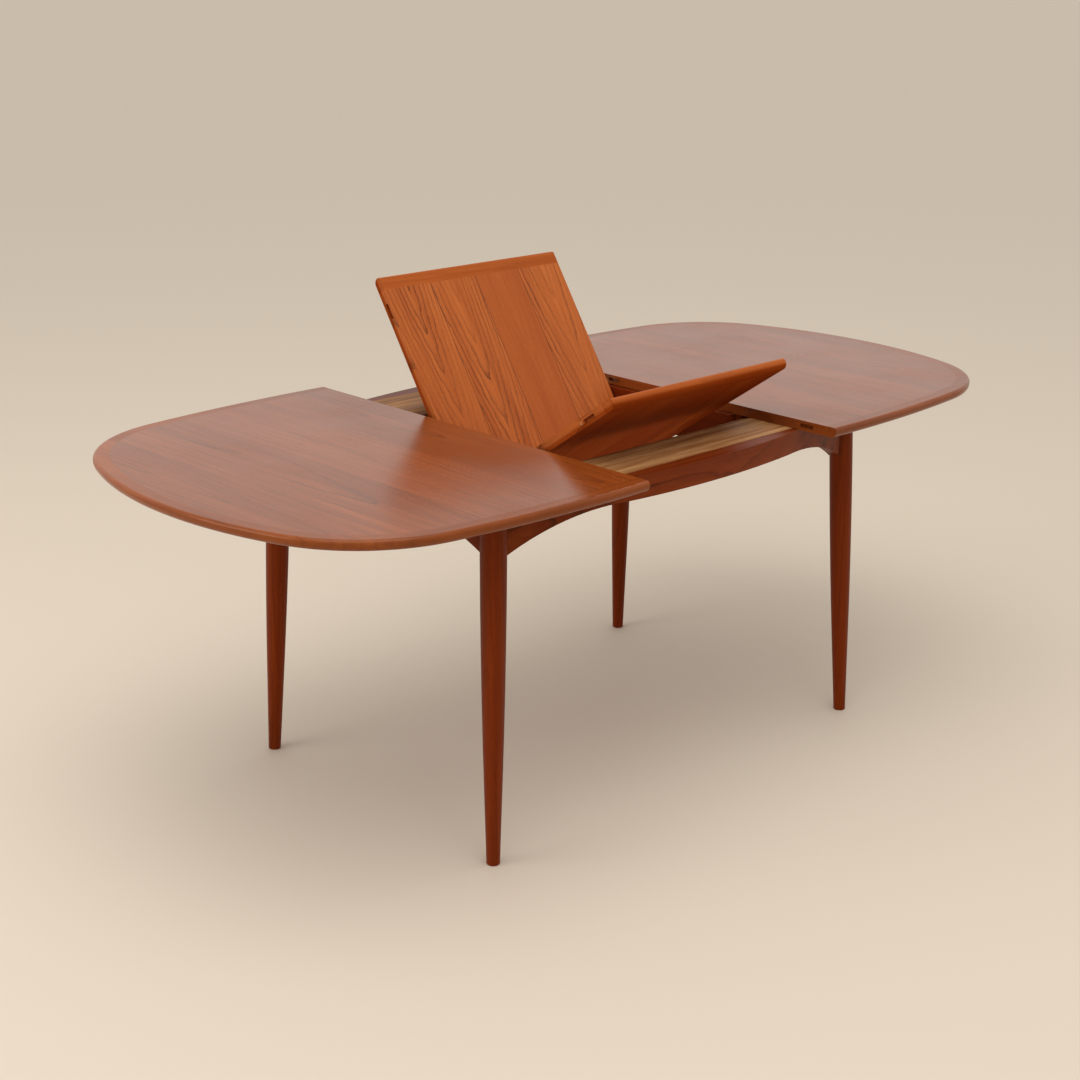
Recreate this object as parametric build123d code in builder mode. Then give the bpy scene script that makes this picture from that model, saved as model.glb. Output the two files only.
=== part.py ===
"""Extension dining table with a folding leaf kept in a well under the two sliding halves of its top.

X runs along the table, Y across it, Z up. The origin is on the floor at the middle of the table.
The model stands as the table does half way through opening: the halves of the top are pulled apart,
and the folded leaf is swung up out of the well with its two panels opened to a V.
"""
from build123d import *
from math import cos, radians, sin, sqrt
import os

# Overall sizes
table_height = 735.0
top_thickness = 21.0
half_length = 728.0          # one half of the top, from the cut edge to the end
half_width = 490.0           # half the width of the table at the cut edge
leaf_length = 502.0          # the leaf along the table
end_gap = 23.0               # between each end of the leaf and the half pulled away from it

# Plan of the top
corner_radius = 280.0
corner_from_end = 128.0      # where the bowed side meets the bowed end, before rounding
corner_from_side = 43.0
side_bow = 17.0              # how far the side stands out from its chord
lipping_width = 30.0
scarf_from_end = 168.0
scarf_lean = 70.0
scarf_inside_corner = 60.0
edge_top_radius = 7.0
edge_bottom_radius = 12.0

# Slide
slide_gap = 0.3              # between the top and the boards that it slides on
frame_drop = 0.8             # legs and aprons stand this far below the top
board_thickness = 16.0
board_inner = 240.0          # inner edge of each slide board, from the middle of the table
board_outer = 378.0
board_to_leg = 5.0           # between the end of a slide board and the leg
board_bevel_width = 24.0
board_bevel_drop = 8.0
runner_width = 16.0
runner_lip = 23.0
runner_height = 28.5
runner_start = 4.0           # from the cut edge
runner_length = 496.0
runner_clearance = 0.5
notch_clearance = 4.0
pull_out_left = 12.0         # travel left before the stop pegs meet the end aprons
peg_radius = 5.0
peg_drop = 14.0

# Legs
foot_x = 534.0
foot_y = 352.0
splay = 0.0369               # sideways lean for each unit of height, both ways
foot_radius = 13.0
knee_height = 190.0
knee_radius = 18.4
shoulder_below_top = 135.0
leg_radius = 25.0
foot_chamfer = 1.5

# Aprons
apron_thickness = 38.5
side_apron_bow = 78.0
side_apron_reach = 416.0     # outer face at the middle of the table
end_apron_thickness = 26.0
end_apron_bow = 30.0
end_apron_reach = 549.0
apron_depth = 46.0
apron_flare = 72.0           # how much deeper an apron is where it meets the leg
arch_fullness = 0.19         # share of the flare reached half way along the curve
side_arch_flat = 240.0       # half the straight part of the arch below a side apron
end_arch_flat = 90.0

# Well rails
rail_thickness = 24.0
rail_clearance = 2.0         # between a leaf tongue and the rail
rail_depth = 72.0
rail_top_drop = 1.7

# Leaf: lean of each panel, pivot and hinge
rear_lean = 56.5
front_lean = -34.25
pivot_y = 156.6
pivot_below_panel = 15.6
pivot_pin_radius = 4.0
pivot_clearance = 0.05
pivot_pin_in_rail = 20.0
cleat_length = 25.0
cleat_half_width = 15.0
cleat_below_pin = 9.0
cleat_round = 7.0
hinge_rise = 0.2             # hinge axis above the show faces
spine_gap = 0.2              # from the hinge axis to each meeting edge
hinge_length = 50.0
hinge_spacing = 170.0
knuckle_radius = 2.4
knuckle_relief = 0.3
knuckle_gap = 0.3
middle_knuckle = 17.4
hinge_pin_radius = 1.2
plate_thickness = 1.5
plate_depth = 16.0

# Tongues and slots that line the edges up
tongue_width = 32.0
tongue_height = 7.4
tongue_reach = 6.0
tongue_root = 15.0
tongue_round = 1.5
slot_side_clearance = 0.6
slot_height_clearance = 0.4
slot_depth = 7.5
outer_tongue_from_side = 75.0
inner_tongue_y = 133.0
catch_radius = 3.0
catch_length = 12.0
catch_proud = 0.2
catch_from_slot = 9.0

# Screws and corner blocks
screw_from_rail_face = 9.0
screw_y = 290.0
screw_head_radius = 4.0
screw_head_height = 3.0
screw_shank_radius = 2.0
screw_length = 34.0
screw_sink = 0.5
runner_screw_count = 4
block_inset_x = 12.7         # from the axis of the leg
block_inset_y = 0.7
block_long = 100.0
block_short = 80.0
block_drop = 73.2
block_height = 42.0

# Worked out from the sizes above
top_underside = table_height - top_thickness
board_top = top_underside - slide_gap
board_bottom = board_top - board_thickness
frame_top = top_underside - frame_drop
runner_bottom = top_underside - runner_height
web_outer = board_inner - runner_clearance
web_inner = web_outer - runner_width
lip_outer = web_outer + runner_lip
notch_inner = web_inner - notch_clearance
notch_outer = lip_outer + notch_clearance
notch_bottom = runner_bottom - notch_clearance / 2
apron_bottom = frame_top - apron_depth
leaf_half = leaf_length / 2
gap_half = leaf_half + end_gap
rail_inner = leaf_half + tongue_reach + rail_clearance
rail_top = top_underside - rail_top_drop
rail_bottom = rail_top - rail_depth
leaf_core_y = half_width - lipping_width
tongue_z = table_height - top_thickness / 2
pivot_below_top = top_thickness + pivot_below_panel
pivot_z = table_height - pivot_below_top
leg_top_x = foot_x - splay * frame_top
leg_top_y = foot_y - splay * frame_top
shoulder_height = table_height - shoulder_below_top
board_half_length = leg_top_x - leg_radius - board_to_leg
corner_x = half_length - corner_from_end
corner_y = half_width - corner_from_side
scarf_from_cut = half_length - scarf_from_end
scarf_inner_y = corner_y - scarf_inside_corner
outer_tongue_y = half_width - outer_tongue_from_side
screw_x = rail_inner + screw_from_rail_face
block_reach_x = leg_top_x - block_inset_x
block_reach_y = leg_top_y - block_inset_y
block_bottom = frame_top - block_drop
end_signs = {"left": -1, "right": 1}
side_signs = {"front": -1, "rear": 1}


def turned(y, z, degrees):
    """A point turned about the pivot of the leaf."""
    dy, dz = y - pivot_y, z - pivot_z
    turn = radians(degrees)
    return (pivot_y + dy * cos(turn) - dz * sin(turn), pivot_z + dy * sin(turn) + dz * cos(turn))


hinge_y, hinge_z = turned(0, table_height + hinge_rise, rear_lean)


def leaf_plane(lean):
    """The plane of a panel: local X along the hinge, local Y across the table, local Z out of the show face."""
    turn = radians(lean)
    return Plane(origin=(0, hinge_y, hinge_z), x_dir=(1, 0, 0), z_dir=(0, -sin(turn), cos(turn)))


rear_plane = leaf_plane(rear_lean)
front_plane = leaf_plane(front_lean)


def half_plane(sign, z):
    """A level plane at the cut edge of half of the top, with local X pointing away from the middle."""
    return Plane(origin=(sign * gap_half, 0, z), x_dir=(sign, 0, 0), z_dir=(0, 0, 1))


def save(part, name):
    part.label = name
    export_step(part, f"parts/{name}.step")


def top_outline(inset):
    """Outline of half of the top, from the cut edge outwards, with its outer edges set in."""
    corner = (corner_x, corner_y)
    middle = (corner_x / 2, (half_width + corner_y) / 2 + side_bow)
    side = Edge.make_three_point_arc((0, half_width), middle, corner)
    centre, run_back = side.arc_center, 2 * inset
    start_y = centre.Y + sqrt(side.radius ** 2 - (run_back + centre.X) ** 2)
    with BuildSketch() as outline:
        with BuildLine():
            ThreePointArc((-run_back, start_y), middle, corner)
            ThreePointArc(corner, (half_length, 0), (corner_x, -corner_y))
            ThreePointArc((corner_x, -corner_y), (middle[0], -middle[1]), (-run_back, -start_y))
            Line((-run_back, -start_y), (-run_back, start_y))
        make_face()
        if inset:
            offset(amount=-inset, kind=Kind.INTERSECTION)
            split(bisect_by=Plane.YZ, keep=Keep.TOP)
        fillet(outline.vertices().sort_by(Axis.X)[-2:], corner_radius - inset)
    return outline.sketch


def rounded_outer_edges(part, sign):
    """Edges round the outside of half of the top, without those on the cut edge."""
    cut_x = sign * gap_half
    return [e for e in part.edges() if max(abs(v.X - cut_x) for v in e.vertices()) > 1
            and min(abs(v.Z - e.vertices()[0].Z) for v in e.vertices()) < 1e-6
            and abs(e.bounding_box().size.Z) < 1e-3]


os.makedirs("parts", exist_ok=True)

# Legs
legs = {}
overrun = 12.0
for end, end_sign in end_signs.items():
    for side, side_sign in side_signs.items():
        foot = Vector(end_sign * foot_x, side_sign * foot_y, 0)
        along = Vector(-end_sign * splay, -side_sign * splay, 1).normalized()
        across = along.cross(Vector(0, 1, 0)).normalized()
        with BuildPart() as leg:
            with BuildSketch(Plane(origin=foot, x_dir=across, z_dir=across.cross(along))):
                with BuildLine():
                    slope = (knee_radius - foot_radius) / knee_height
                    below = (foot_radius - slope * overrun, -overrun)
                    lower = Line(below, (knee_radius, knee_height))
                    upper = TangentArc(lower @ 1, (leg_radius, shoulder_height), tangent=lower % 1)
                    Polyline(upper @ 1, (leg_radius, frame_top + overrun), (0, frame_top + overrun),
                             (0, -overrun), below)
                make_face()
            revolve(axis=Axis(foot, along))
            split(bisect_by=Plane.XY, keep=Keep.TOP)
            split(bisect_by=Plane.XY.offset(frame_top), keep=Keep.BOTTOM)
            chamfer(leg.faces().sort_by(Axis.Z)[0].edges(), foot_chamfer)
        legs[side, end] = leg.part
        save(leg.part, f"leg_{side}_{end}")


def apron_plan(half_span, reach, bow, thickness):
    """Plan of an apron with both faces bowed, reaching out along local Y."""
    with BuildSketch() as plan:
        with BuildLine():
            outer = ThreePointArc((-half_span, reach - bow), (0, reach), (half_span, reach - bow))
            inner = ThreePointArc((half_span, reach - bow - thickness), (0, reach - thickness),
                                  (-half_span, reach - bow - thickness))
            Line(outer @ 1, inner @ 0)
            Line(inner @ 1, outer @ 0)
        make_face()
    return plan.sketch


def apron_face(half_span, flat):
    """Face of an apron seen from outside: straight in the middle, deeper towards each leg."""
    run = half_span - flat
    with BuildSketch() as face:
        with BuildLine():
            deep = apron_bottom - apron_flare
            Line((-flat, apron_bottom), (flat, apron_bottom))
            Polyline((half_span, deep), (half_span, frame_top), (-half_span, frame_top), (-half_span, deep))
            for side in (-1, 1):
                middle = (side * (flat + run / 2), apron_bottom - apron_flare * arch_fullness)
                ThreePointArc((side * flat, apron_bottom), middle, (side * half_span, deep))
        make_face()
    return face.sketch


def block(x_limits, y_limits, z_limits, mode=Mode.ADD):
    """A box between three pairs of limits."""
    spans = [(min(pair), max(pair)) for pair in (x_limits, y_limits, z_limits)]
    with Locations(tuple((low + high) / 2 for low, high in spans)):
        Box(*(high - low for low, high in spans), mode=mode)


# Screws that hold the slide boards down on the well rails
with BuildPart() as board_screws:
    head_top = board_top - screw_sink
    for x in (-screw_x, screw_x):
        for y in (-screw_y, screw_y):
            with BuildSketch(Plane(origin=(x, y, 0), x_dir=(1, 0, 0), z_dir=(0, -1, 0))):
                with BuildLine():
                    Polyline((0, head_top), (screw_head_radius, head_top),
                             (screw_shank_radius, head_top - screw_head_height),
                             (screw_shank_radius, head_top - screw_length), (0, head_top - screw_length),
                             close=True)
                make_face()
            revolve(axis=Axis((x, y, 0), (0, 0, 1)))
save(board_screws.part, "board_screws")

# Slide boards, sawn to the bow of the aprons at their ends
board_margin = 12.0
boards = {}
for side, side_sign in side_signs.items():
    bow_plane = Plane(origin=(0, 0, board_bottom), x_dir=(-side_sign, 0, 0), z_dir=(0, 0, 1))
    with BuildPart() as board:
        block((-board_half_length, board_half_length),
              (side_sign * board_inner, side_sign * board_outer), (board_bottom, board_top))
        upper_edges = board.edges().filter_by(Axis.X).group_by(Axis.Z)[-1]
        inner_arris = upper_edges.sort_by(lambda e: abs(e.center().Y))[0]
        bevel_face = board.faces().sort_by(lambda f: abs(f.center().Y))[0]
        chamfer(inner_arris, length=board_bevel_drop, length2=board_bevel_width, reference=bevel_face)
        with BuildSketch(bow_plane):
            with BuildLine():
                reach = side_apron_reach - board_margin
                ends = reach - side_apron_bow
                ThreePointArc((-leg_top_x, -ends), (0, -reach), (leg_top_x, -ends))
                Polyline((leg_top_x, -ends), (leg_top_x, 0), (-leg_top_x, 0), (-leg_top_x, -ends))
            make_face()
        extrude(amount=board_thickness, mode=Mode.INTERSECT)
        add(board_screws.part, mode=Mode.SUBTRACT)
    boards[side] = board.part
    save(board.part, f"slide_board_{side}")

# Side aprons, rebated for the boards and shaped to the legs
aprons = {}
for side, side_sign in side_signs.items():
    plan_plane = Plane(origin=(0, 0, 0), x_dir=(side_sign, 0, 0), z_dir=(0, 0, 1))
    with BuildPart() as apron:
        with BuildSketch(plan_plane):
            add(apron_plan(leg_top_x, side_apron_reach, side_apron_bow, apron_thickness))
        extrude(amount=table_height)
        with BuildSketch(Plane.XZ):
            add(apron_face(leg_top_x, side_arch_flat))
        extrude(amount=side_apron_reach + apron_thickness, both=True, mode=Mode.INTERSECT)
        for solid in [boards[side], legs[side, "left"], legs[side, "right"]]:
            add(solid, mode=Mode.SUBTRACT)
        middle_piece = apron.solids().sort_by(lambda s: s.volume)[-1]
        add(middle_piece, mode=Mode.INTERSECT)
    aprons[side] = apron.part
    save(apron.part, f"apron_{side}")

# End aprons, notched for the runners
for end, end_sign in end_signs.items():
    plan_plane = Plane(origin=(0, 0, 0), x_dir=(0, -end_sign, 0), z_dir=(0, 0, 1))
    with BuildPart() as apron:
        with BuildSketch(plan_plane):
            add(apron_plan(leg_top_y, end_apron_reach, end_apron_bow, end_apron_thickness))
        extrude(amount=table_height)
        with BuildSketch(Plane.YZ):
            add(apron_face(leg_top_y, end_arch_flat))
        extrude(amount=end_apron_reach + end_apron_thickness, both=True, mode=Mode.INTERSECT)
        notch_start = end_apron_reach - end_apron_bow - 2 * end_apron_thickness
        for side_sign in side_signs.values():
            block((end_sign * notch_start, end_sign * (end_apron_reach + 1)),
                  (side_sign * notch_inner, side_sign * notch_outer), (notch_bottom, table_height),
                  Mode.SUBTRACT)
        for solid in [legs["front", end], legs["rear", end], aprons["front"], aprons["rear"]]:
            add(solid, mode=Mode.SUBTRACT)
        middle_piece = apron.solids().sort_by(lambda s: s.volume)[-1]
        add(middle_piece, mode=Mode.INTERSECT)
    aprons[end] = apron.part
    save(apron.part, f"apron_{end}_end")

# Corner blocks behind the legs
with BuildPart() as corner_blocks:
    for end_sign in end_signs.values():
        for side_sign in side_signs.values():
            with BuildSketch(Plane.XY.offset(block_bottom)):
                with BuildLine():
                    Polyline((end_sign * block_reach_x, side_sign * (block_reach_y - block_short)),
                             (end_sign * block_reach_x, side_sign * block_reach_y),
                             (end_sign * (block_reach_x - block_long), side_sign * block_reach_y), close=True)
                make_face()
            extrude(amount=block_height)
    for solid in [*legs.values(), *aprons.values()]:
        add(solid, mode=Mode.SUBTRACT)
save(corner_blocks.part, "corner_blocks")

# Well rails: a raised middle that carries the leaf, and a step down under the slide boards
reach = side_apron_reach - apron_thickness - side_apron_bow * (rail_inner / leg_top_x) ** 2
end_bottom = apron_bottom + 2
for end, end_sign in end_signs.items():
    with BuildPart() as rail:
        with BuildSketch(Plane(origin=(end_sign * rail_inner, 0, 0), x_dir=(0, end_sign, 0),
                               z_dir=(end_sign, 0, 0))):
            with BuildLine():
                Polyline((-reach, end_bottom), (-notch_outer, rail_bottom), (notch_outer, rail_bottom),
                         (reach, end_bottom), (reach, board_bottom),
                         (notch_outer, board_bottom), (notch_outer, notch_bottom),
                         (notch_inner, notch_bottom), (notch_inner, rail_top), (-notch_inner, rail_top),
                         (-notch_inner, notch_bottom), (-notch_outer, notch_bottom),
                         (-notch_outer, board_bottom), (-reach, board_bottom), close=True)
            make_face()
        extrude(amount=rail_thickness)
        with Locations(Plane(origin=(end_sign * rail_inner, pivot_y, pivot_z), z_dir=(-end_sign, 0, 0))):
            Hole(pivot_pin_radius + pivot_clearance, depth=pivot_pin_in_rail + 2)
        for solid in [aprons["front"], aprons["rear"], board_screws.part]:
            add(solid, mode=Mode.SUBTRACT)
        middle_piece = rail.solids().sort_by(lambda s: s.volume)[-1]
        add(middle_piece, mode=Mode.INTERSECT)
    save(rail.part, f"well_rail_{end}")

# Halves of the top
scarf_regions = {
    "front": [(-1, 0), (-1, -half_width - 20), (scarf_from_cut + scarf_lean, -half_width - 20),
              (scarf_from_cut, -scarf_inner_y), (scarf_from_cut, 0)],
    "rear": [(-1, 0), (-1, half_width + 20), (scarf_from_cut + scarf_lean, half_width + 20),
             (scarf_from_cut, scarf_inner_y), (scarf_from_cut, 0)],
}


def scarf_region(name, end_sign):
    """The space that one of the side pieces of lipping lies in, up to its scarf joint."""
    with BuildPart() as region:
        with BuildSketch(Plane.XY.offset(top_underside - 1)):
            with BuildLine():
                Polyline(*[(end_sign * (gap_half + x), y) for x, y in scarf_regions[name]], close=True)
            make_face()
        extrude(amount=top_thickness + 2)
    return region.part


def slot_box(x_limits, y, z, side_clearance=0.0, height_clearance=0.0, mode=Mode.SUBTRACT):
    """The hole for a tongue, centred on a place across the edge."""
    half_wide = tongue_width / 2 + side_clearance
    half_high = tongue_height / 2 + height_clearance
    block(x_limits, (y - half_wide, y + half_wide), (z - half_high, z + half_high), mode)


def tongue_box(x_limits, y, z):
    """A tongue from its tip to its root, with the edges of the tip eased."""
    with BuildPart() as tongue:
        slot_box(x_limits, y, z, mode=Mode.ADD)
        tip = tongue.faces().sort_by(lambda f: abs(f.center().X - x_limits[0]))[0]
        chamfer(tip.edges(), tongue_round)
    return tongue.part


for end, end_sign in end_signs.items():
    cut_x = end_sign * gap_half
    with BuildPart() as lipping:
        with BuildSketch(half_plane(end_sign, top_underside)):
            add(top_outline(0))
        extrude(amount=top_thickness)
        outer_edges = rounded_outer_edges(lipping, end_sign)
        fillet([e for e in outer_edges if e.center().Z > tongue_z], edge_top_radius)
        outer_edges = rounded_outer_edges(lipping, end_sign)
        low_edges = [e for e in outer_edges if e.center().Z < top_underside + 1]
        fillet(low_edges, edge_bottom_radius)
        with BuildSketch(half_plane(end_sign, top_underside - 1)):
            add(top_outline(lipping_width))
        extrude(amount=top_thickness + 2, mode=Mode.SUBTRACT)
    for piece in ("front", "rear"):
        with BuildPart() as strip:
            add(lipping.part)
            add(scarf_region(piece, end_sign), mode=Mode.INTERSECT)
        save(strip.part, f"lipping_{end}_{piece}")
    with BuildPart() as strip:
        add(lipping.part)
        for piece in ("front", "rear"):
            add(scarf_region(piece, end_sign), mode=Mode.SUBTRACT)
    save(strip.part, f"lipping_{end}_end")

    with BuildPart() as panel:
        with BuildSketch(half_plane(end_sign, top_underside)):
            add(top_outline(lipping_width))
        extrude(amount=top_thickness)
        for side_sign in side_signs.values():
            if end == "right":
                for y in (inner_tongue_y, outer_tongue_y):
                    slot_box((cut_x, cut_x + slot_depth), side_sign * y, tongue_z,
                             slot_side_clearance, slot_height_clearance)
            else:
                slot_box((cut_x - tongue_root, cut_x), side_sign * outer_tongue_y, tongue_z)
    save(panel.part, f"top_{end}_panel")

    # Runners: a web under the top, with a lip that hooks under the slide board
    for side, side_sign in side_signs.items():
        run = (end_sign * (gap_half + runner_start), end_sign * (gap_half + runner_start + runner_length))
        lip_top = board_bottom - runner_clearance
        with BuildPart() as runner:
            block(run, (side_sign * web_inner, side_sign * web_outer), (runner_bottom, top_underside))
            block(run, (side_sign * web_inner, side_sign * lip_outer), (runner_bottom, lip_top))
        save(runner.part, f"runner_{end}_{side}")

# Tongues on the cut edge of the left half
with BuildPart() as top_tongues:
    for side_sign in side_signs.values():
        add(tongue_box((tongue_reach - gap_half, -gap_half - tongue_root), side_sign * outer_tongue_y, tongue_z))
save(top_tongues.part, "top_left_tongues")

# Pegs below the front runners that meet the end aprons when a half is pulled right out
for end, end_sign in end_signs.items():
    inner_face = end_apron_reach - end_apron_bow - end_apron_thickness
    apron_bow_here = end_apron_bow * (1 - (board_inner / leg_top_y) ** 2)
    peg_x = end_sign * (inner_face + apron_bow_here - peg_radius - pull_out_left - slide_gap)
    with BuildPart() as peg:
        with BuildSketch(Plane(origin=(peg_x, -board_inner, runner_bottom), x_dir=(1, 0, 0), z_dir=(0, 0, -1))):
            Circle(peg_radius)
        extrude(amount=peg_drop)
    save(peg.part, f"stop_peg_{end}")

# Folding leaf. Each panel is drawn level in its own plane and turned with it.
show_face = -hinge_rise
underside = show_face - top_thickness
slot_level = show_face - top_thickness / 2
hinge_places = (-hinge_spacing, 0, hinge_spacing)
cylinder_turn = (0, 90, 0)


def hinge_cylinders(radius, ranges, mode=Mode.ADD):
    """Cylinders along the hinge axis, one for each pair of limits and each hinge."""
    for place in hinge_places:
        for start, end in ranges:
            with Locations((place + (start + end) / 2, 0, 0)):
                Cylinder(radius, end - start, rotation=cylinder_turn, mode=mode)


def leaf_panel(y_sign):
    """A leaf panel without its lipping, with cuts for its hinges, slots and tongues."""
    half_hinge = hinge_length / 2
    with BuildPart() as panel:
        block((-leaf_half, leaf_half), (y_sign * spine_gap, y_sign * leaf_core_y), (underside, show_face))
        for place in hinge_places:
            block((place - half_hinge, place + half_hinge),
                  (y_sign * spine_gap, y_sign * (spine_gap + plate_thickness)),
                  (show_face - plate_depth, show_face), Mode.SUBTRACT)
        hinge_cylinders(knuckle_radius + knuckle_relief, [(-half_hinge, half_hinge)], Mode.SUBTRACT)
        slot_box((-leaf_half, slot_depth - leaf_half), y_sign * outer_tongue_y, slot_level,
                 slot_side_clearance, slot_height_clearance)
        for y in (inner_tongue_y, outer_tongue_y):
            slot_box((leaf_half - tongue_root, leaf_half), y_sign * y, slot_level)
    return panel.part


def leaf_lipping(y_sign):
    """The strip along the outer edge of a leaf panel, rounded as the edge of the top is."""
    with BuildPart() as strip:
        block((-leaf_half, leaf_half), (y_sign * leaf_core_y, y_sign * half_width), (underside, show_face))
        outer = strip.edges().filter_by(Axis.X).sort_by(lambda e: -abs(e.center().Y))[:2]
        low, high = sorted(outer, key=lambda e: e.center().Z)
        fillet(high, edge_top_radius)
        low = strip.edges().filter_by(Axis.X).group_by(Axis.Z)[0].sort_by(lambda e: -abs(e.center().Y))[0]
        fillet(low, edge_bottom_radius)
    return strip.part


def leaf_tongues(y_sign):
    with BuildPart() as tongues:
        for y in (inner_tongue_y, outer_tongue_y):
            add(tongue_box((leaf_half + tongue_reach, leaf_half - tongue_root), y_sign * y, slot_level))
    return tongues.part


def hinge_leaf(y_sign, knuckles, others, with_pin):
    """One leaf of each hinge, with its knuckles and either the pin or a hole for it."""
    half_hinge = hinge_length / 2
    with BuildPart() as hinge:
        for place in hinge_places:
            block((place - half_hinge, place + half_hinge),
                  (y_sign * spine_gap, y_sign * (spine_gap + plate_thickness)), (show_face - plate_depth, 0))
        hinge_cylinders(knuckle_radius + knuckle_relief, others, Mode.SUBTRACT)
        hinge_cylinders(knuckle_radius, knuckles)
        if with_pin:
            hinge_cylinders(hinge_pin_radius, [(-half_hinge, half_hinge)])
        else:
            hinge_cylinders(hinge_pin_radius + pivot_clearance, [(-half_hinge, half_hinge)], Mode.SUBTRACT)
    return hinge.part


def place_on(part, plane, name):
    """Turn a piece drawn level into its place on the leaf and write it."""
    save(plane.location * part, name)


half_hinge = hinge_length / 2
middle_half = middle_knuckle / 2
outer_knuckles = [(-half_hinge, -middle_half - knuckle_gap), (middle_half + knuckle_gap, half_hinge)]
outer_space = [(-half_hinge, -middle_half), (middle_half, half_hinge)]
middle_knuckles = [(-middle_half, middle_half)]
middle_space = [(-middle_half - knuckle_gap, middle_half + knuckle_gap)]

place_on(leaf_panel(1), rear_plane, "leaf_rear_panel")
place_on(leaf_lipping(1), rear_plane, "leaf_rear_lipping")
place_on(leaf_tongues(1), rear_plane, "leaf_rear_tongues")
place_on(hinge_leaf(1, outer_knuckles, middle_space, True), rear_plane, "leaf_rear_hinges")
place_on(leaf_lipping(-1), front_plane, "leaf_front_lipping")
place_on(leaf_tongues(-1), front_plane, "leaf_front_tongues")
place_on(hinge_leaf(-1, middle_knuckles, outer_space, False), front_plane, "leaf_front_hinges")

# Brass catch in the left edge of the front panel
catch_y = -(outer_tongue_y - tongue_width / 2 - catch_from_slot)
with BuildPart() as catch:
    with Locations((-leaf_half - catch_proud + catch_length / 2, catch_y, slot_level)):
        Cylinder(catch_radius, catch_length, rotation=cylinder_turn)
with BuildPart() as front_panel:
    add(leaf_panel(-1))
    add(catch.part, mode=Mode.SUBTRACT)
place_on(front_panel.part, front_plane, "leaf_front_panel")
place_on(catch.part, front_plane, "leaf_front_catch")

# Pivot of the leaf: cleats under the rear panel, and pins that turn in the well rails
cleat_y = pivot_y
cleat_z = -hinge_rise - pivot_below_top
for end, end_sign in end_signs.items():
    cleat_x = (end_sign * (leaf_half - cleat_length - 1), end_sign * (leaf_half - 1))
    pin_x = (end_sign * (leaf_half - cleat_length), end_sign * (rail_inner + pivot_pin_in_rail))
    with BuildPart() as pin:
        with Locations(((pin_x[0] + pin_x[1]) / 2, cleat_y, cleat_z)):
            Cylinder(pivot_pin_radius, abs(pin_x[1] - pin_x[0]), rotation=cylinder_turn)
    with BuildPart() as cleat:
        block(cleat_x, (cleat_y - cleat_half_width, cleat_y + cleat_half_width),
              (cleat_z - cleat_below_pin, underside))
        fillet(cleat.edges().filter_by(Axis.X).group_by(Axis.Z)[0], cleat_round)
        add(pin.part, mode=Mode.SUBTRACT)
    place_on(cleat.part, rear_plane, f"pivot_cleat_{end}")
    place_on(pin.part, rear_plane, f"pivot_pin_{end}")
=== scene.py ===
import math

import bpy
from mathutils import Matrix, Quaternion, Vector

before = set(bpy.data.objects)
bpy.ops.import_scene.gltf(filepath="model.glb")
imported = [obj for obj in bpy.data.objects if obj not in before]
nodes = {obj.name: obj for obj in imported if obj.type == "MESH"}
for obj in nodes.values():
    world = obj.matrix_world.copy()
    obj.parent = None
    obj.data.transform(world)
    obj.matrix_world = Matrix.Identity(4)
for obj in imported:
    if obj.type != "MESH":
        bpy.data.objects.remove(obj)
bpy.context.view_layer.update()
print("frame loaded:", len(nodes), "nodes")

# Camera, in metres and degrees
camera = {
    "place": (-2.5809, -2.6127, 1.6680),
    "heading": 43.75,
    "tilt": 18.50,
    "roll": 0.39,
    "lens": 60.05,
}


def makeCamera():
    data = bpy.data.cameras.new("camera")
    data.lens = camera["lens"]
    data.sensor_width = 36.0
    data.clip_end = 200.0
    obj = bpy.data.objects.new("camera", data)
    bpy.context.scene.collection.objects.link(obj)
    heading, tilt = math.radians(camera["heading"]), math.radians(camera["tilt"])
    ahead = Vector((math.sin(heading) * math.cos(tilt), math.cos(heading) * math.cos(tilt), -math.sin(tilt)))
    obj.location = camera["place"]
    obj.rotation_mode = "QUATERNION"
    obj.rotation_quaternion = ahead.to_track_quat("-Z", "Y") @ Quaternion((0, 0, 1), math.radians(camera["roll"]))
    bpy.context.scene.camera = obj


makeCamera()
print("camera placed")

# Pale room: a floor, an even sky and soft area lights
studio = {
    "floorSize": 160.0,
    "floorColour": (0.64, 0.55, 0.45, 1.0),
    "floorRoughness": 0.7,
    "skyColour": (1.0, 0.97, 0.92, 1.0),
    "skyStrength": 0.86,
    "lights": [
        {"name": "ceilingLight", "place": (-1.2, -1.0, 4.2), "aim": (0.0, 0.0, 0.7), "size": 3.6, "watts": 85.0},
        {"name": "windowLight", "place": (-4.6, 1.6, 2.6), "aim": (0.0, 0.0, 0.7), "size": 2.8, "watts": 60.0},
    ],
}


def makeStudio():
    scene = bpy.context.scene
    scene.view_settings.view_transform = "Standard"
    bpy.ops.mesh.primitive_plane_add(size=studio["floorSize"])
    floor = bpy.context.object
    floor.name = "floor"
    material = bpy.data.materials.new("floorPaint")
    material.use_nodes = True
    shader = material.node_tree.nodes["Principled BSDF"]
    shader.inputs["Base Color"].default_value = studio["floorColour"]
    shader.inputs["Roughness"].default_value = studio["floorRoughness"]
    floor.data.materials.append(material)
    world = bpy.data.worlds.new("softSky")
    world.use_nodes = True
    scene.world = world
    background = world.node_tree.nodes["Background"]
    background.inputs["Color"].default_value = studio["skyColour"]
    background.inputs["Strength"].default_value = studio["skyStrength"]
    for light in studio["lights"]:
        data = bpy.data.lights.new(light["name"], "AREA")
        data.size = light["size"]
        data.energy = light["watts"]
        obj = bpy.data.objects.new(light["name"], data)
        scene.collection.objects.link(obj)
        obj.location = light["place"]
        obj.rotation_mode = "QUATERNION"
        obj.rotation_quaternion = (Vector(light["aim"]) - Vector(light["place"])).to_track_quat("-Z", "Y")


makeStudio()
print("studio lit")


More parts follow.
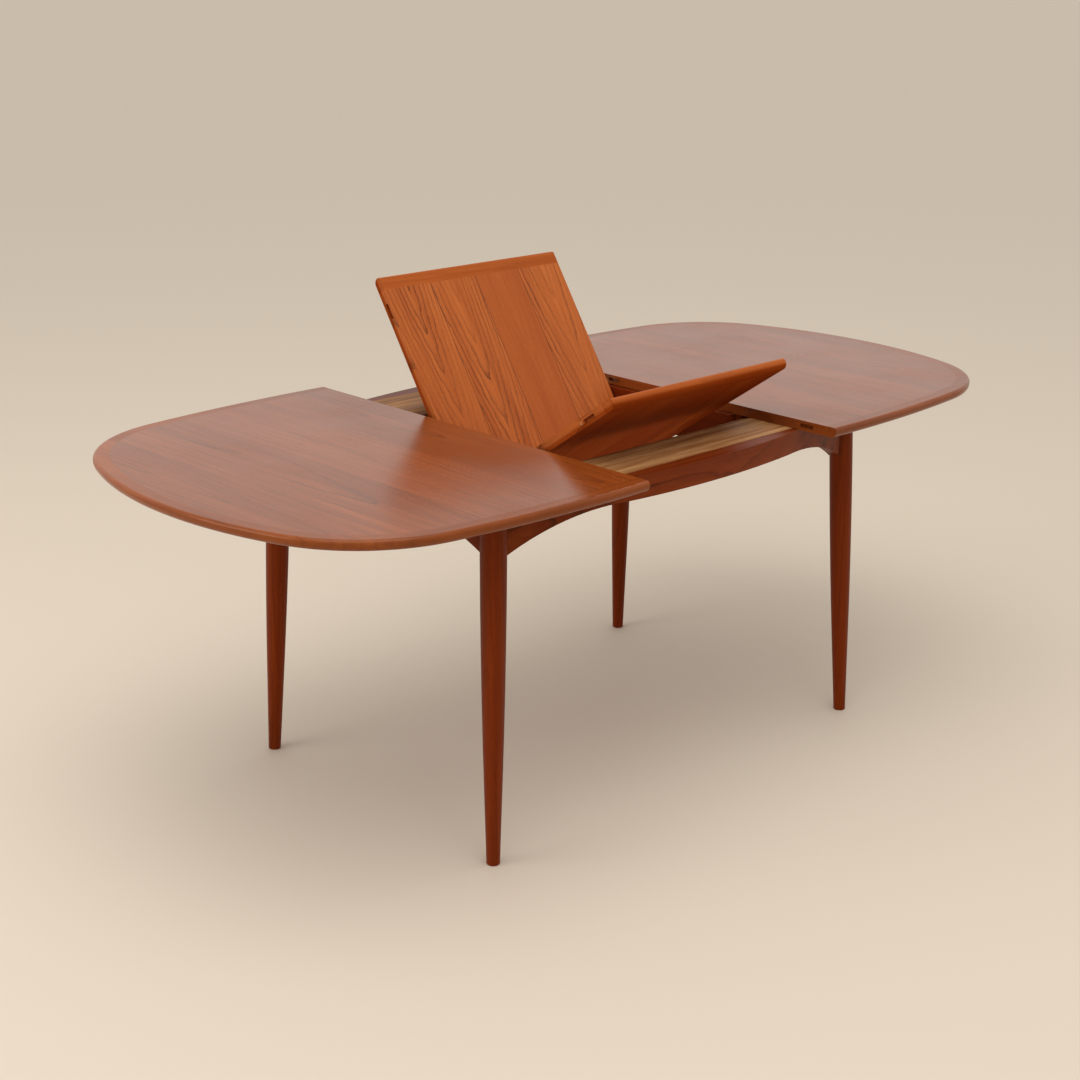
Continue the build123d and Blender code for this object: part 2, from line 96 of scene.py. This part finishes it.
# A small helper that makes shader nodes and joins them
class Graph:
    def __init__(self, name):
        self.material = bpy.data.materials.new(name)
        self.material.use_nodes = True
        self.tree = self.material.node_tree
        self.shader = self.tree.nodes["Principled BSDF"]

    def node(self, kind, **options):
        made = self.tree.nodes.new(kind)
        for option, value in options.items():
            setattr(made, option, value)
        return made

    def join(self, source, target):
        self.tree.links.new(source, target)

    def feed(self, target, value):
        if isinstance(value, (int, float, tuple)):
            target.default_value = value
        else:
            self.join(value, target)

    def math(self, operation, first, second=None, third=None, clamp=False):
        made = self.node("ShaderNodeMath", operation=operation, use_clamp=clamp)
        for socket, value in zip(made.inputs, (first, second, third)):
            if value is not None:
                self.feed(socket, value)
        return made.outputs[0]

    def vector(self, x, y, z):
        made = self.node("ShaderNodeCombineXYZ")
        for socket, value in zip(made.inputs, (x, y, z)):
            self.feed(socket, value)
        return made.outputs[0]

    def noise(self, place, scale, detail=3.0, roughness=0.5, distortion=0.0):
        made = self.node("ShaderNodeTexNoise", noise_dimensions="3D")
        self.join(place, made.inputs["Vector"])
        made.inputs["Scale"].default_value = scale
        made.inputs["Detail"].default_value = detail
        made.inputs["Roughness"].default_value = roughness
        made.inputs["Distortion"].default_value = distortion
        return made.outputs[0]

    def mix(self, amount, first, second, blend="MIX"):
        made = self.node("ShaderNodeMix", data_type="RGBA", blend_type=blend)
        self.feed(made.inputs[0], amount)
        self.feed(made.inputs[6], first)
        self.feed(made.inputs[7], second)
        return made.outputs[2]

    def range(self, value, low, high, outLow=0.0, outHigh=1.0):
        made = self.node("ShaderNodeMapRange", clamp=True)
        self.feed(made.inputs[0], value)
        for socket, limit in zip(made.inputs[1:5], (low, high, outLow, outHigh)):
            socket.default_value = limit
        return made.outputs[0]


# What a wood finish has when it says nothing else. Lengths are in metres, angles in degrees.
woodDefaults = {
    "move": (0.0, 0.0, 0.0), "turn": (0, 0, 0),
    "sheetShift": 0.0, "plainSheet": 1000.0, "plainTint": 0.45, "sheetTint": 0.5, "seed": 0.5,
    "joints": True, "seam": 0.5, "seamWidth": 0.0008,
    "offCentre": 0.35, "archPower": 2.0, "lineSharpness": 5.0, "faintest": 0.2, "patchLow": 0.3,
    "contrast": 0.2, "streaks": 0.4, "clouds": 0.35, "fibres": 0.3, "pores": 0.35, "bump": 0.12,
    "ior": 1.45, "sheen": (1.0, 0.85, 0.7, 1.0), "coat": 0.0, "coatRoughness": 0.2, "underside": False,
}

# How far each pattern is drawn out along the grain, and its scale and detail across it
patterns = {
    "wander": {"stretch": 0.22, "scale": 7.0, "detail": 2.0},
    "ripple": {"stretch": 0.5, "scale": 48.0, "detail": 4.0, "roughness": 0.6},
    "patches": {"stretch": 0.22, "scale": 14.0, "detail": 2.0},
    "cloud": {"stretch": 0.22, "scale": 5.0, "detail": 2.0},
    "streak": {"stretch": 0.03, "scale": 110.0, "detail": 3.0},
    "broad": {"stretch": 0.05, "scale": 30.0, "detail": 3.0},
    "fibre": {"stretch": 0.016, "scale": 900.0, "detail": 2.0},
    "pore": {"stretch": 0.06, "scale": 1500.0, "detail": 1.0},
}
sheetStep = 3.7              # moves the pattern from one sheet of veneer to the next
ringStep = 1.37
plainRings = 0.15            # strength of the rings in a plain sheet
underStart = -0.009          # below the show face, where the underside's painted shade and duller finish begin and are complete
underEnd = -0.015
underRoughness = 0.45
underSpecular = 0.03
bumpDistance = 0.0004


# Fields of a piece of wood in its own directions: across the grain, along it and into the face
class Wood:
    def __init__(self, graph, look):
        self.graph = graph
        coordinates = graph.node("ShaderNodeTexCoord")
        mapping = graph.node("ShaderNodeMapping")
        mapping.inputs["Location"].default_value = look["move"]
        mapping.inputs["Rotation"].default_value = tuple(math.radians(a) for a in look["turn"])
        graph.join(coordinates.outputs["Object"], mapping.inputs["Vector"])
        parts = graph.node("ShaderNodeSeparateXYZ")
        graph.join(mapping.outputs[0], parts.inputs[0])
        self.place = mapping.outputs[0]
        self.across, self.along, self.depth = parts.outputs

        # Sheets of veneer side by side, each with its own place and tint
        sheet = graph.math("ADD", graph.math("DIVIDE", self.across, look["sheetWidth"]), look["sheetShift"])
        index = graph.math("FLOOR", sheet)
        self.inSheet = graph.math("SUBTRACT", graph.math("FRACT", sheet), 0.5)
        self.plain = graph.math("COMPARE", index, look["plainSheet"], 0.25)
        dice = graph.node("ShaderNodeTexWhiteNoise", noise_dimensions="1D")
        graph.join(graph.math("ADD", index, look["seed"]), dice.inputs["W"])
        diceParts = graph.node("ShaderNodeSeparateColor")
        graph.join(dice.outputs["Color"], diceParts.inputs[0])
        self.heartDice, self.depthDice, self.tintDice = diceParts.outputs
        self.sheetSeed = graph.math("MULTIPLY", index, sheetStep)
        self.shifted = graph.math("ADD", self.across, self.sheetSeed)

    def pattern(self, name, ownSheet=True):
        kind = patterns[name]
        across = self.shifted if ownSheet else self.across
        place = self.graph.vector(across, self.graph.math("MULTIPLY", self.along, kind["stretch"]), self.depth)
        return self.graph.noise(place, kind["scale"], kind["detail"], kind.get("roughness", 0.5))

    def swing(self, name, size):
        return self.graph.math("MULTIPLY", self.graph.math("SUBTRACT", self.pattern(name), 0.5), size)


# Growth rings cut by the face: dark lines in nested arches along the grain
def ringLines(graph, wood, look):
    acrossSheet = graph.math("MULTIPLY", wood.inSheet, look["sheetWidth"])
    centre = graph.math("MULTIPLY", graph.math("SUBTRACT", wood.heartDice, 0.5), look["sheetWidth"] * look["offCentre"])
    fromHeart = graph.math("ADD", graph.math("SUBTRACT", acrossSheet, centre), wood.swing("wander", look["wander"]))
    start = graph.math("MULTIPLY_ADD", wood.depthDice, look["archSpread"], look["archDepth"])
    heartDepth = graph.math("SUBTRACT", start, graph.math("MULTIPLY", wood.along, look["archTilt"]))
    sharp = look["archPower"]
    powers = [graph.math("POWER", graph.math("ABSOLUTE", side), sharp) for side in (fromHeart, heartDepth)]
    radius = graph.math("POWER", graph.math("ADD", *powers), 1.0 / sharp)
    radius = graph.math("ADD", radius, wood.swing("ripple", look["ripple"]))
    rings = graph.math("DIVIDE", radius, look["ringSpacing"])
    tooth = graph.math("FRACT", rings)
    dice = graph.node("ShaderNodeTexWhiteNoise", noise_dimensions="1D")
    graph.join(graph.math("MULTIPLY_ADD", graph.math("FLOOR", rings), ringStep, wood.sheetSeed), dice.inputs["W"])
    line = graph.math("MULTIPLY", graph.math("POWER", tooth, look["lineSharpness"]),
                      graph.range(tooth, 0.96, 1.0, 1.0, 0.0))
    line = graph.math("MULTIPLY", line, graph.range(dice.outputs["Value"], 0.1, 0.7, look["faintest"], 1.0))
    line = graph.math("MULTIPLY", line, graph.range(wood.pattern("patches"), 0.36, 0.56, look["patchLow"], 1.0))
    return graph.math("MULTIPLY", line, graph.math("MULTIPLY_ADD", wood.plain, plainRings - 1.0, 1.0))


def woodColour(graph, wood, look, fibre, pores):
    contrast = look["contrast"]
    streaked = graph.range(wood.pattern("streak"), 0.5 - contrast, 0.5 + contrast)
    colour = graph.mix(streaked, look["light"], look["mid"])
    colour = graph.mix(graph.range(wood.pattern("broad"), 0.46, 0.66, 0.0, look["streaks"]), colour, look["dark"])
    colour = graph.mix(graph.math("MULTIPLY", wood.tintDice, look["sheetTint"]), colour, look["tint"])
    colour = graph.mix(graph.math("MULTIPLY", wood.plain, look["plainTint"]), colour, look["tint"])
    colour = graph.mix(graph.range(wood.pattern("cloud"), 0.35, 0.65, 0.0, look["clouds"]), colour, look["dark"])
    rings = graph.math("MULTIPLY", ringLines(graph, wood, look), look["ringStrength"])
    colour = graph.mix(rings, colour, look["line"])
    colour = graph.mix(graph.range(fibre, 0.35, 0.7, 0.0, look["fibres"]), colour, look["dark"])
    colour = graph.mix(pores, colour, look["line"])
    if look["joints"]:
        gap = graph.math("SUBTRACT", 0.5, graph.math("ABSOLUTE", wood.inSheet))
        seam = graph.range(gap, 0.0, look["seamWidth"] / look["sheetWidth"], look["seam"], 0.0)
        colour = graph.mix(seam, colour, look["line"])
    return colour


def makeTeak(name, choices):
    look = {**woodDefaults, **choices}
    graph = Graph(name)
    wood = Wood(graph, look)
    fibre = wood.pattern("fibre", ownSheet=False)
    pores = graph.range(wood.pattern("pore", ownSheet=False), 0.62, 0.74, 0.0, look["pores"])
    colour = woodColour(graph, wood, look, fibre, pores)

    smear = graph.noise(wood.place, 6.0, 3.0)
    rough = graph.math("ADD", graph.range(smear, 0.3, 0.7, look["roughness"] - 0.04, look["roughness"] + 0.05),
                       graph.math("MULTIPLY", pores, 0.25))
    # Underside: painted shade for a face that looks down, multiplied into the colour, and a rougher, less shiny finish
    if look["underside"]:
        under = graph.range(wood.depth, underEnd, underStart, 1.0, 0.0)
        colour = graph.mix(under, colour, look["underTint"], "MULTIPLY")
        rough = graph.math("MULTIPLY_ADD", under, underRoughness, rough)
        graph.join(graph.range(under, 0.0, 1.0, 0.5, underSpecular), graph.shader.inputs["Specular IOR Level"])
    graph.join(colour, graph.shader.inputs["Base Color"])
    graph.join(rough, graph.shader.inputs["Roughness"])
    settings = {"IOR": "ior", "Specular Tint": "sheen", "Coat Weight": "coat", "Coat Roughness": "coatRoughness"}
    for socket, key in settings.items():
        graph.shader.inputs[socket].default_value = look[key]
    bump = graph.node("ShaderNodeBump")
    bump.inputs["Strength"].default_value = look["bump"]
    bump.inputs["Distance"].default_value = bumpDistance
    graph.join(graph.math("SUBTRACT", graph.math("MULTIPLY", fibre, 0.5), pores), bump.inputs["Height"])
    graph.join(bump.outputs[0], graph.shader.inputs["Normal"])
    return graph.material


# Finishes. Colours are linear.
topVeneer = {
    "sheetWidth": 0.19, "sheetShift": 0.37, "seed": 11.5,
    "light": (0.310, 0.074, 0.013, 1), "mid": (0.240, 0.052, 0.009, 1), "dark": (0.125, 0.025, 0.005, 1),
    "tint": (0.225, 0.048, 0.008, 1), "line": (0.045, 0.009, 0.003, 1),
    "wander": 0.05, "ripple": 0.008, "archSpread": 0.05, "archDepth": 0.02, "archTilt": 0.06, "archPower": 1.6,
    "ringSpacing": 0.013, "ringStrength": 0.7, "roughness": 0.22, "ior": 1.46, "coat": 0.05, "coatRoughness": 0.22,
    "sheen": (1.0, 0.8, 0.6, 1.0),
    "clouds": 0.5, "fibres": 0.25, "pores": 0.22, "seam": 0.12, "bump": 0.06,
}
leafVeneer = {
    "sheetWidth": 0.1262, "seed": 4.5,
    "light": (0.530, 0.145, 0.031, 1), "mid": (0.430, 0.103, 0.019, 1), "dark": (0.270, 0.050, 0.008, 1),
    "tint": (0.340, 0.066, 0.010, 1), "line": (0.030, 0.006, 0.002, 1),
    "wander": 0.035, "ripple": 0.010, "archSpread": 0.012, "archDepth": 0.052, "archTilt": 0.11, "archPower": 1.35,
    "ringSpacing": 0.0105, "ringStrength": 1.0, "faintest": 0.25, "patchLow": 0.45,
    "roughness": 0.42, "ior": 1.33, "sheen": (1.0, 0.7, 0.45, 1.0),
    "clouds": 0.2, "fibres": 0.3, "pores": 0.35, "seam": 0.9, "seamWidth": 0.0013, "lineSharpness": 4.5,
    "sheetTint": 0.25, "streaks": 0.55, "offCentre": 0.2,
}
solidTeak = {
    "sheetWidth": 0.9, "sheetShift": 0.4, "seed": 7.5, "joints": False,
    "light": (0.210, 0.030, 0.0035, 1), "mid": (0.155, 0.019, 0.002, 1), "dark": (0.085, 0.009, 0.001, 1),
    "tint": (0.150, 0.018, 0.002, 1), "line": (0.025, 0.004, 0.001, 1),
    "wander": 0.04, "ripple": 0.008, "archSpread": 0.02, "archDepth": 0.03, "archTilt": 0.03,
    "ringSpacing": 0.008, "ringStrength": 0.6, "roughness": 0.42, "ior": 1.27, "sheen": (1.0, 0.55, 0.3, 1.0),
    "clouds": 0.35, "fibres": 0.3, "pores": 0.25,
}
paleHardwood = {
    "sheetWidth": 0.6, "sheetShift": 0.2, "seed": 2.5, "joints": False,
    "light": (0.620, 0.330, 0.135, 1), "mid": (0.420, 0.185, 0.062, 1), "dark": (0.150, 0.050, 0.013, 1),
    "tint": (0.450, 0.230, 0.090, 1), "line": (0.080, 0.026, 0.007, 1),
    "wander": 0.03, "ripple": 0.006, "archSpread": 0.02, "archDepth": 0.06, "archTilt": 0.01,
    "ringSpacing": 0.0055, "ringStrength": 0.5, "roughness": 0.6, "clouds": 0.3, "fibres": 0.6, "pores": 0.5,
    "streaks": 1.0, "contrast": 0.06, "bump": 0.3, "ior": 1.3, "sheetTint": 0.0,
}


def variant(base, **changes):
    return {**base, **changes}


alongX = (0, 0, 90)
alongZ = (-90, 0, 0)
lipping = variant(topVeneer, ior=1.36, coat=0.0, sheetWidth=0.9, joints=False, ringStrength=0.3, seed=7.5)
# Leaf panels: painted shade multiplied into the colour of their undersides, and of the lower part of their edges
leafGrain = variant(leafVeneer, underside=True, underTint=(0.66, 0.48, 0.34, 1))
leafEdge = variant(leafGrain, light=(0.430, 0.108, 0.021, 1), mid=(0.350, 0.078, 0.014, 1), ior=1.22, roughness=0.55,
                   sheetWidth=0.9, sheetShift=0.5, joints=False, ringStrength=0.25, seed=3.5)
# Lean of each leaf panel, and where its spine lies once it is turned level
rearPlace = {"lean": -56.5, "along": 0.512, "depth": 0.292}
frontPlace = {"lean": 34.25, "along": -0.298, "depth": 0.508}


def onLeaf(base, spot, **changes):
    return variant(base, turn=(spot["lean"], 0, 0), move=(0, -spot["along"], -spot["depth"]), **changes)


def alongLeafEdge(base, spot, **changes):
    return variant(base, turn=(spot["lean"], 0, 90), move=(spot["along"], 0, -spot["depth"]), **changes)


finishes = {
    "topGrain": topVeneer,
    "rearLeafGrain": onLeaf(leafGrain, rearPlace, plainSheet=0.0),
    "frontLeafGrain": onLeaf(leafGrain, frontPlace, plainSheet=0.0, archTilt=-0.11),
    "lippingAlong": variant(lipping, turn=alongX),
    "lippingAcross": variant(lipping, seed=3.5, light=(0.350, 0.088, 0.016, 1), mid=(0.280, 0.063, 0.011, 1)),
    "rearLeafEdge": alongLeafEdge(leafEdge, rearPlace),
    "frontLeafEdge": alongLeafEdge(leafEdge, frontPlace, seed=5.5),
    "apronAlong": variant(solidTeak, turn=alongX, seed=5.5, ringStrength=1.0, wander=0.09, ringSpacing=0.011,
                          light=(0.225, 0.041, 0.006, 1), mid=(0.160, 0.026, 0.004, 1), faintest=0.5, patchLow=0.5),
    "apronAcross": variant(solidTeak, seed=6.5),
    "legGrain": variant(solidTeak, turn=alongZ, seed=8.5),
    "paleAlong": variant(paleHardwood, turn=alongX),
    "paleAcross": paleHardwood,
}
materials = {name: makeTeak(name, look) for name, look in finishes.items()}
print("wood finishes made:", len(materials))


def makeMetal(name, colour, roughness):
    graph = Graph(name)
    coordinates = graph.node("ShaderNodeTexCoord")
    tarnish = graph.range(graph.noise(coordinates.outputs["Object"], 160.0, 4.0), 0.4, 0.65)
    dull = tuple(c * 0.45 for c in colour[:3]) + (1.0,)
    graph.join(graph.mix(tarnish, colour, dull), graph.shader.inputs["Base Color"])
    graph.join(graph.math("MULTIPLY_ADD", tarnish, 0.2, roughness), graph.shader.inputs["Roughness"])
    graph.shader.inputs["Metallic"].default_value = 1.0
    return graph.material


materials["brass"] = makeMetal("brass", (0.72, 0.50, 0.20, 1.0), 0.28)
materials["screwSteel"] = makeMetal("screwSteel", (0.16, 0.13, 0.11, 1.0), 0.45)

finishOf = [
    ("top_left_tongues", "paleAlong"), ("top_", "topGrain"),
    ("lipping_left_end", "lippingAcross"), ("lipping_right_end", "lippingAcross"), ("lipping_", "lippingAlong"),
    ("runner_", "apronAlong"), ("stop_peg", "paleAcross"), ("slide_board", "paleAlong"),
    ("well_rail", "apronAcross"), ("corner_blocks", "paleAcross"), ("board_screws", "screwSteel"),
    ("apron_front", "apronAlong"), ("apron_rear", "apronAlong"), ("apron_", "apronAcross"), ("leg_", "legGrain"),
    ("leaf_rear_panel", "rearLeafGrain"), ("leaf_front_panel", "frontLeafGrain"),
    ("leaf_rear_lipping", "rearLeafEdge"), ("leaf_front_lipping", "frontLeafEdge"),
    ("leaf_rear_tongues", "rearLeafEdge"), ("leaf_front_tongues", "frontLeafEdge"),
    ("leaf_rear_hinges", "brass"), ("leaf_front_hinges", "brass"), ("leaf_front_catch", "brass"),
    ("pivot_pin", "brass"), ("pivot_cleat", "paleAlong"),
]
for name, obj in nodes.items():
    finish = next(made for start, made in finishOf if name.startswith(start))
    obj.data.materials.clear()
    obj.data.materials.append(materials[finish])
print("finishes given to the frame's nodes")
